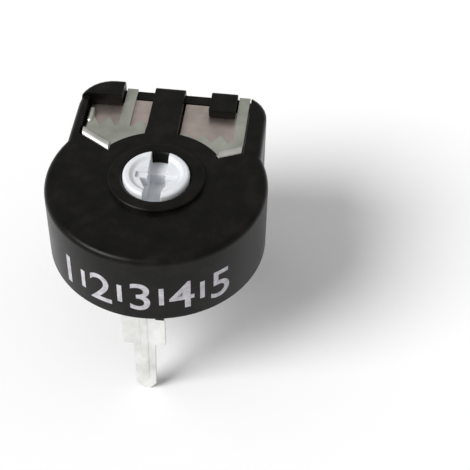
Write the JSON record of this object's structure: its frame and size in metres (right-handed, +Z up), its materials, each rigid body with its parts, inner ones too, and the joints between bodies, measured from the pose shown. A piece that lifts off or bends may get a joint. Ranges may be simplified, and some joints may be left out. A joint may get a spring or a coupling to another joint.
{
  "type": "trimmer potentiometer",
  "caption": "Round single-turn carbon trimmer for flat board mounting, with a white slotted rotor, rear terminal windows and solder pins below.",
  "frame": {"origin": "the point on the circuit board's face that lies on the rotor's axis", "axes": "+Z up, away from the board, along the rotor's axis; +Y towards the two end terminals; +X to the right, seen from above with the end terminals at the top"},
  "size_m": [0.015, 0.0173, 0.0145],
  "materials": {
    "housing_plastic": "moulded, fine matt",
    "cover_plastic": "moulded, fine matt",
    "laminate": "phenolic paper laminate",
    "carbon_ink": "screen-printed carbon, dull",
    "silver_ink": "screen-printed silver, dull",
    "tinned_sheet": "hot-dip tinned, satin",
    "eyelet_metal": "tinned, satin",
    "spring_bronze": "rolled, bright",
    "rotor_plastic": "moulded, smooth"
  },
  "bodies": {
    "housing_body": {"housing": "housing_plastic", "bottom_cover": "cover_plastic", "laminate": "laminate", "carbon_track": "carbon_ink", "end_pad_left": "silver_ink", "end_pad_right": "silver_ink", "end_terminal_left": "tinned_sheet", "end_terminal_right": "tinned_sheet", "wiper_terminal": "tinned_sheet", "collector_eyelet": "eyelet_metal"},
    "rotor_body": {"rotor": "rotor_plastic", "contact_spring": "spring_bronze"}
  },
  "joints": [
    {"name": "rotor_turn", "type": "hinge", "parent": "housing_body", "child": "rotor_body", "pos_m": [0, 0, 0.004], "axis": [0, 0, 1], "range_deg": [-132.5, 132.5]}
  ]
}
